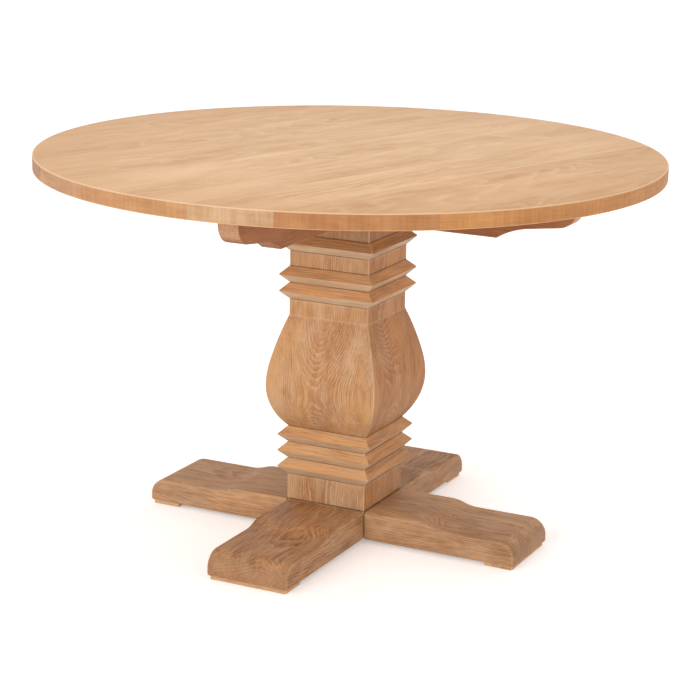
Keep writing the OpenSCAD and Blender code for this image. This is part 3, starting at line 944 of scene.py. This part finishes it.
def top_wood(index, pith_share, depth, tone, warm, rim):
    """Pale oak for one board. Each has its own pith and runs a little off the seams."""
    low, high = BOARD_EDGES[index - 1], BOARD_EDGES[index]
    across = (low + (high - low) * pith_share) * TOP_RADIUS
    pith = BOARD_ACROSS * across + UP * (TOP_HIGH + depth) + BOARD_ALONG * (1.7 * index)
    tilt = 0.03 * (-1) ** index
    return wood(
        f"top_wood_{index}", BOARD_ALONG + BOARD_ACROSS * tilt * 0.3 + UP * tilt, UP, pith,
        base=toned(linear(222, 181, 138), tone, warm),
        dark=toned(linear(196, 149, 102), tone, warm),
        pale=linear(230, 200, 166), spacing=6.5 * MM, figure=0.25, lime=0.55, fibre=0.32,
        cloud=0.6, mottle=0.15, warp=0.02, rim=linear(*rim), rub_and_shading=0.5, bump=0.15)


def build_top():
    for i, board in enumerate(BOARDS, start=1):
        link(f"board_{i}", board_mesh(i), top_wood(i, *board), "top_wood", f"top_board_{i}")


def pedestal_wood(index, side, turn, figure, lime, tone, warm):
    """Limed oak for one panel, upright, and along the ridges on their slopes."""
    out = turned(turn, 3) @ Vector((0, -1, 0))
    across = turned(turn, 3) @ Vector((1, 0, 0))
    pith = out * 0.05 + across * (0.02 * (index - 1)) + UP * (1.3 * index)
    return wood(
        f"pedestal_wood_{side}", UP + across * 0.03 + out * 0.05, out, pith,
        base=toned(linear(186, 137 - 8 * warm, 88 - 14 * warm), tone),
        dark=toned(linear(154, 102 - 6 * warm, 58 - 8 * warm), tone),
        pale=linear(192, 166, 137), spacing=3.6 * MM, figure=figure, lime=lime, fibre=0.6,
        cloud=0.65, mottle=0.5, warp=0.012, ridges=across, rub_and_shading=0.6, bump=0.8)


def build_pedestal():
    for i, panel in enumerate(PANELS):
        side, turn = panel[:2]
        link(f"panel_{side}", panel_mesh(f"panel_{side}", turn), pedestal_wood(i, *panel),
             "pedestal_wood", f"pedestal_{side}")


def bearer_wood(name, along):
    """Darker oak, partly its own redder colour and partly painted shade under the table top,
    with pale end grain.
    """
    return wood(
        f"bearer_wood_{name}", along, UP, (0.03, 0.03, 0.5), base=linear(151, 95, 56),
        dark=linear(122, 70, 38), pale=linear(176, 132, 96), spacing=5 * MM, figure=0.3,
        lime=0.25, fibre=0.45, cloud=0.3, mottle=0.3, warp=0.01,
        ends=(0.8, linear(190, 152, 116)), rub_and_shading=0.5, bump=0.3)


def build_bearers():
    for name, upper, along in BEAMS:
        link(f"bearer_{name}_beam", bearer_mesh(f"bearer_{name}", upper),
             bearer_wood(name, along), "bearer_wood", f"bearer_{name}")


def foot_wood(name, along):
    """Limed, strongly brushed oak, with dark end grain."""
    base, dark, end = FOOT_COLORS[name]
    return wood(
        f"foot_wood_{name}", Vector(along) + UP * 0.01, UP, (0.02, 0.02, -0.09),
        base=base, dark=dark, pale=linear(190, 163, 132), spacing=3.4 * MM, figure=0.45,
        lime=0.6, fibre=0.7, cloud=0.4, mottle=0.4, warp=0.02, ends=(0.65, end), rub_and_shading=0.2,
        bump=0.8)


def pad_wood(index, side, turn):
    """Pale oak, with its grain across the foot."""
    return wood(
        f"pad_wood_{side}", turned(turn, 3) @ Vector((1, 0, 0)), UP,
        (0.0, 0.0, -0.05 - 0.01 * index), base=linear(196, 154, 114),
        dark=linear(150, 106, 70), pale=linear(214, 186, 152), spacing=4 * MM, figure=0.4,
        lime=0.4, fibre=0.6, cloud=0.3, mottle=0.4, rub_and_shading=0.9, bump=0.5)


def build_feet():
    for name, upper, along in BEAMS:
        link(f"foot_{name}_beam", foot_mesh(f"foot_{name}", upper), foot_wood(name, along),
             "foot_wood", f"foot_{name}")
    for i, side in enumerate(("front", "right", "back", "left")):
        link(f"pad_{side}", pad_mesh(f"pad_{side}", 90 * i), pad_wood(i, side, 90 * i),
             "pad_wood", f"foot_pad_{side}")


def finish_cad_nodes():
    """Materials for the CAD nodes that stay: the glued-in blocks and the metal parts."""
    block = wood(
        "block_wood", (0, 0, 1), (0, -1, 0), (0.0, 0.3, 0.0), base=linear(210, 172, 128),
        dark=linear(176, 134, 92), pale=linear(222, 192, 156), spacing=4 * MM, figure=0.6,
        lime=0.1, fibre=0.4, cloud=0.3)
    zinc = metal("zinc_plate", linear(196, 198, 202), 0.34)
    brass = metal("turned_brass", linear(200, 164, 92), 0.3)
    finishes = {
        "pedestal_top_block": block, "pedestal_bottom_block": block, "top_screws": zinc,
        "top_screw_washers": zinc, "bearer_bolt": zinc, "bearer_bolt_washer": zinc,
        "bearer_insert": brass, "base_bolts": zinc, "base_bolt_washers": zinc,
        "base_inserts": brass, "pad_screws": zinc}
    for node, material in finishes.items():
        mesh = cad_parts[node].data
        if not mesh.materials:
            mesh.materials.append(material)
        for i in range(len(mesh.materials)):
            mesh.materials[i] = material


# ---------------------------------------------------------------- studio


def stage_mesh():
    """A floor that turns up through a cove into a low wall far away, all round."""
    flat, cove, wall, steps = 30, 6, 16, 96
    profile = [(0, 0)] + arc(flat, cove, cove, -90, 0, 16) + [(flat + cove, wall)]
    turns = [2 * math.pi * i / steps for i in range(steps)]
    bm = bmesh.new()
    rows = [[bm.verts.new((radius * math.cos(a), radius * math.sin(a), z)) for a in turns]
            for radius, z in profile]
    for low, high in zip(rows, rows[1:]):
        for i in range(steps):
            j = (i + 1) % steps
            bm.faces.new((low[i], low[j], high[j], high[i]))
    bmesh.ops.remove_doubles(bm, verts=bm.verts, dist=1e-6)
    mesh = to_mesh(bm, "floor")
    smooth(mesh)
    return mesh


def build_stage():
    """The plain white floor, which glows a little so that it stays white."""
    floor = show("floor", stage_mesh())
    paint = bpy.data.materials.new("floor_paint")
    paint.use_nodes = True
    shader = paint.node_tree.nodes["Principled BSDF"]
    shader.inputs["Base Color"].default_value = (0.9, 0.9, 0.9, 1)
    shader.inputs["Roughness"].default_value = 0.9
    shader.inputs["Specular IOR Level"].default_value = 0.0
    shader.inputs["Emission Color"].default_value = (1, 1, 1, 1)
    shader.inputs["Emission Strength"].default_value = 0.3
    floor.data.materials.append(paint)


def add_softbox(name, place, target, size, power):
    """A rectangular soft light at a place, turned towards its target."""
    light = bpy.data.lights.new(name, "AREA")
    light.shape = "RECTANGLE"
    light.size, light.size_y = size
    light.energy = power
    obj = show(name, light)
    obj.location = place
    obj.rotation_mode = "QUATERNION"
    obj.rotation_quaternion = (Vector(target) - Vector(place)).to_track_quat("-Z", "Y")


def build_lights():
    world = bpy.data.worlds.new("studio")
    world.use_nodes = True
    world.node_tree.nodes["Background"].inputs["Color"].default_value = (1, 1, 1, 1)
    world.node_tree.nodes["Background"].inputs["Strength"].default_value = 0.73
    bpy.context.scene.world = world
    add_softbox("key", (-0.9, -5.4, 2.6), (0, 0, 0.45), (3.4, 2.2), 148)
    add_softbox("side", (5.2, -1.2, 1.3), (0, 0, 0.45), (2.6, 1.8), 38)
    add_softbox("overhead", (0.0, 1.8, 4.4), (0, 0, 0.7), (3.6, 3.6), 42)


def build_camera():
    place, aim = Vector((1.7785, -3.5907, 1.4412)), Vector((0.0053, 0.0026, 0.3648))
    roll = turned(1.07, 3)
    data = bpy.data.cameras.new("camera")
    data.sensor_width = 36
    data.lens = 107.6
    data.clip_start, data.clip_end = 0.05, 200
    camera = show("camera", data)
    turn = (aim - place).to_track_quat("-Z", "Y").to_matrix() @ roll
    camera.matrix_world = Matrix.Translation(place) @ turn.to_4x4()
    bpy.context.scene.camera = camera


build_camera()
build_lights()
build_stage()
build_top()
build_pedestal()
build_bearers()
build_feet()
finish_cad_nodes()
bpy.context.scene.view_settings.view_transform = "Standard"
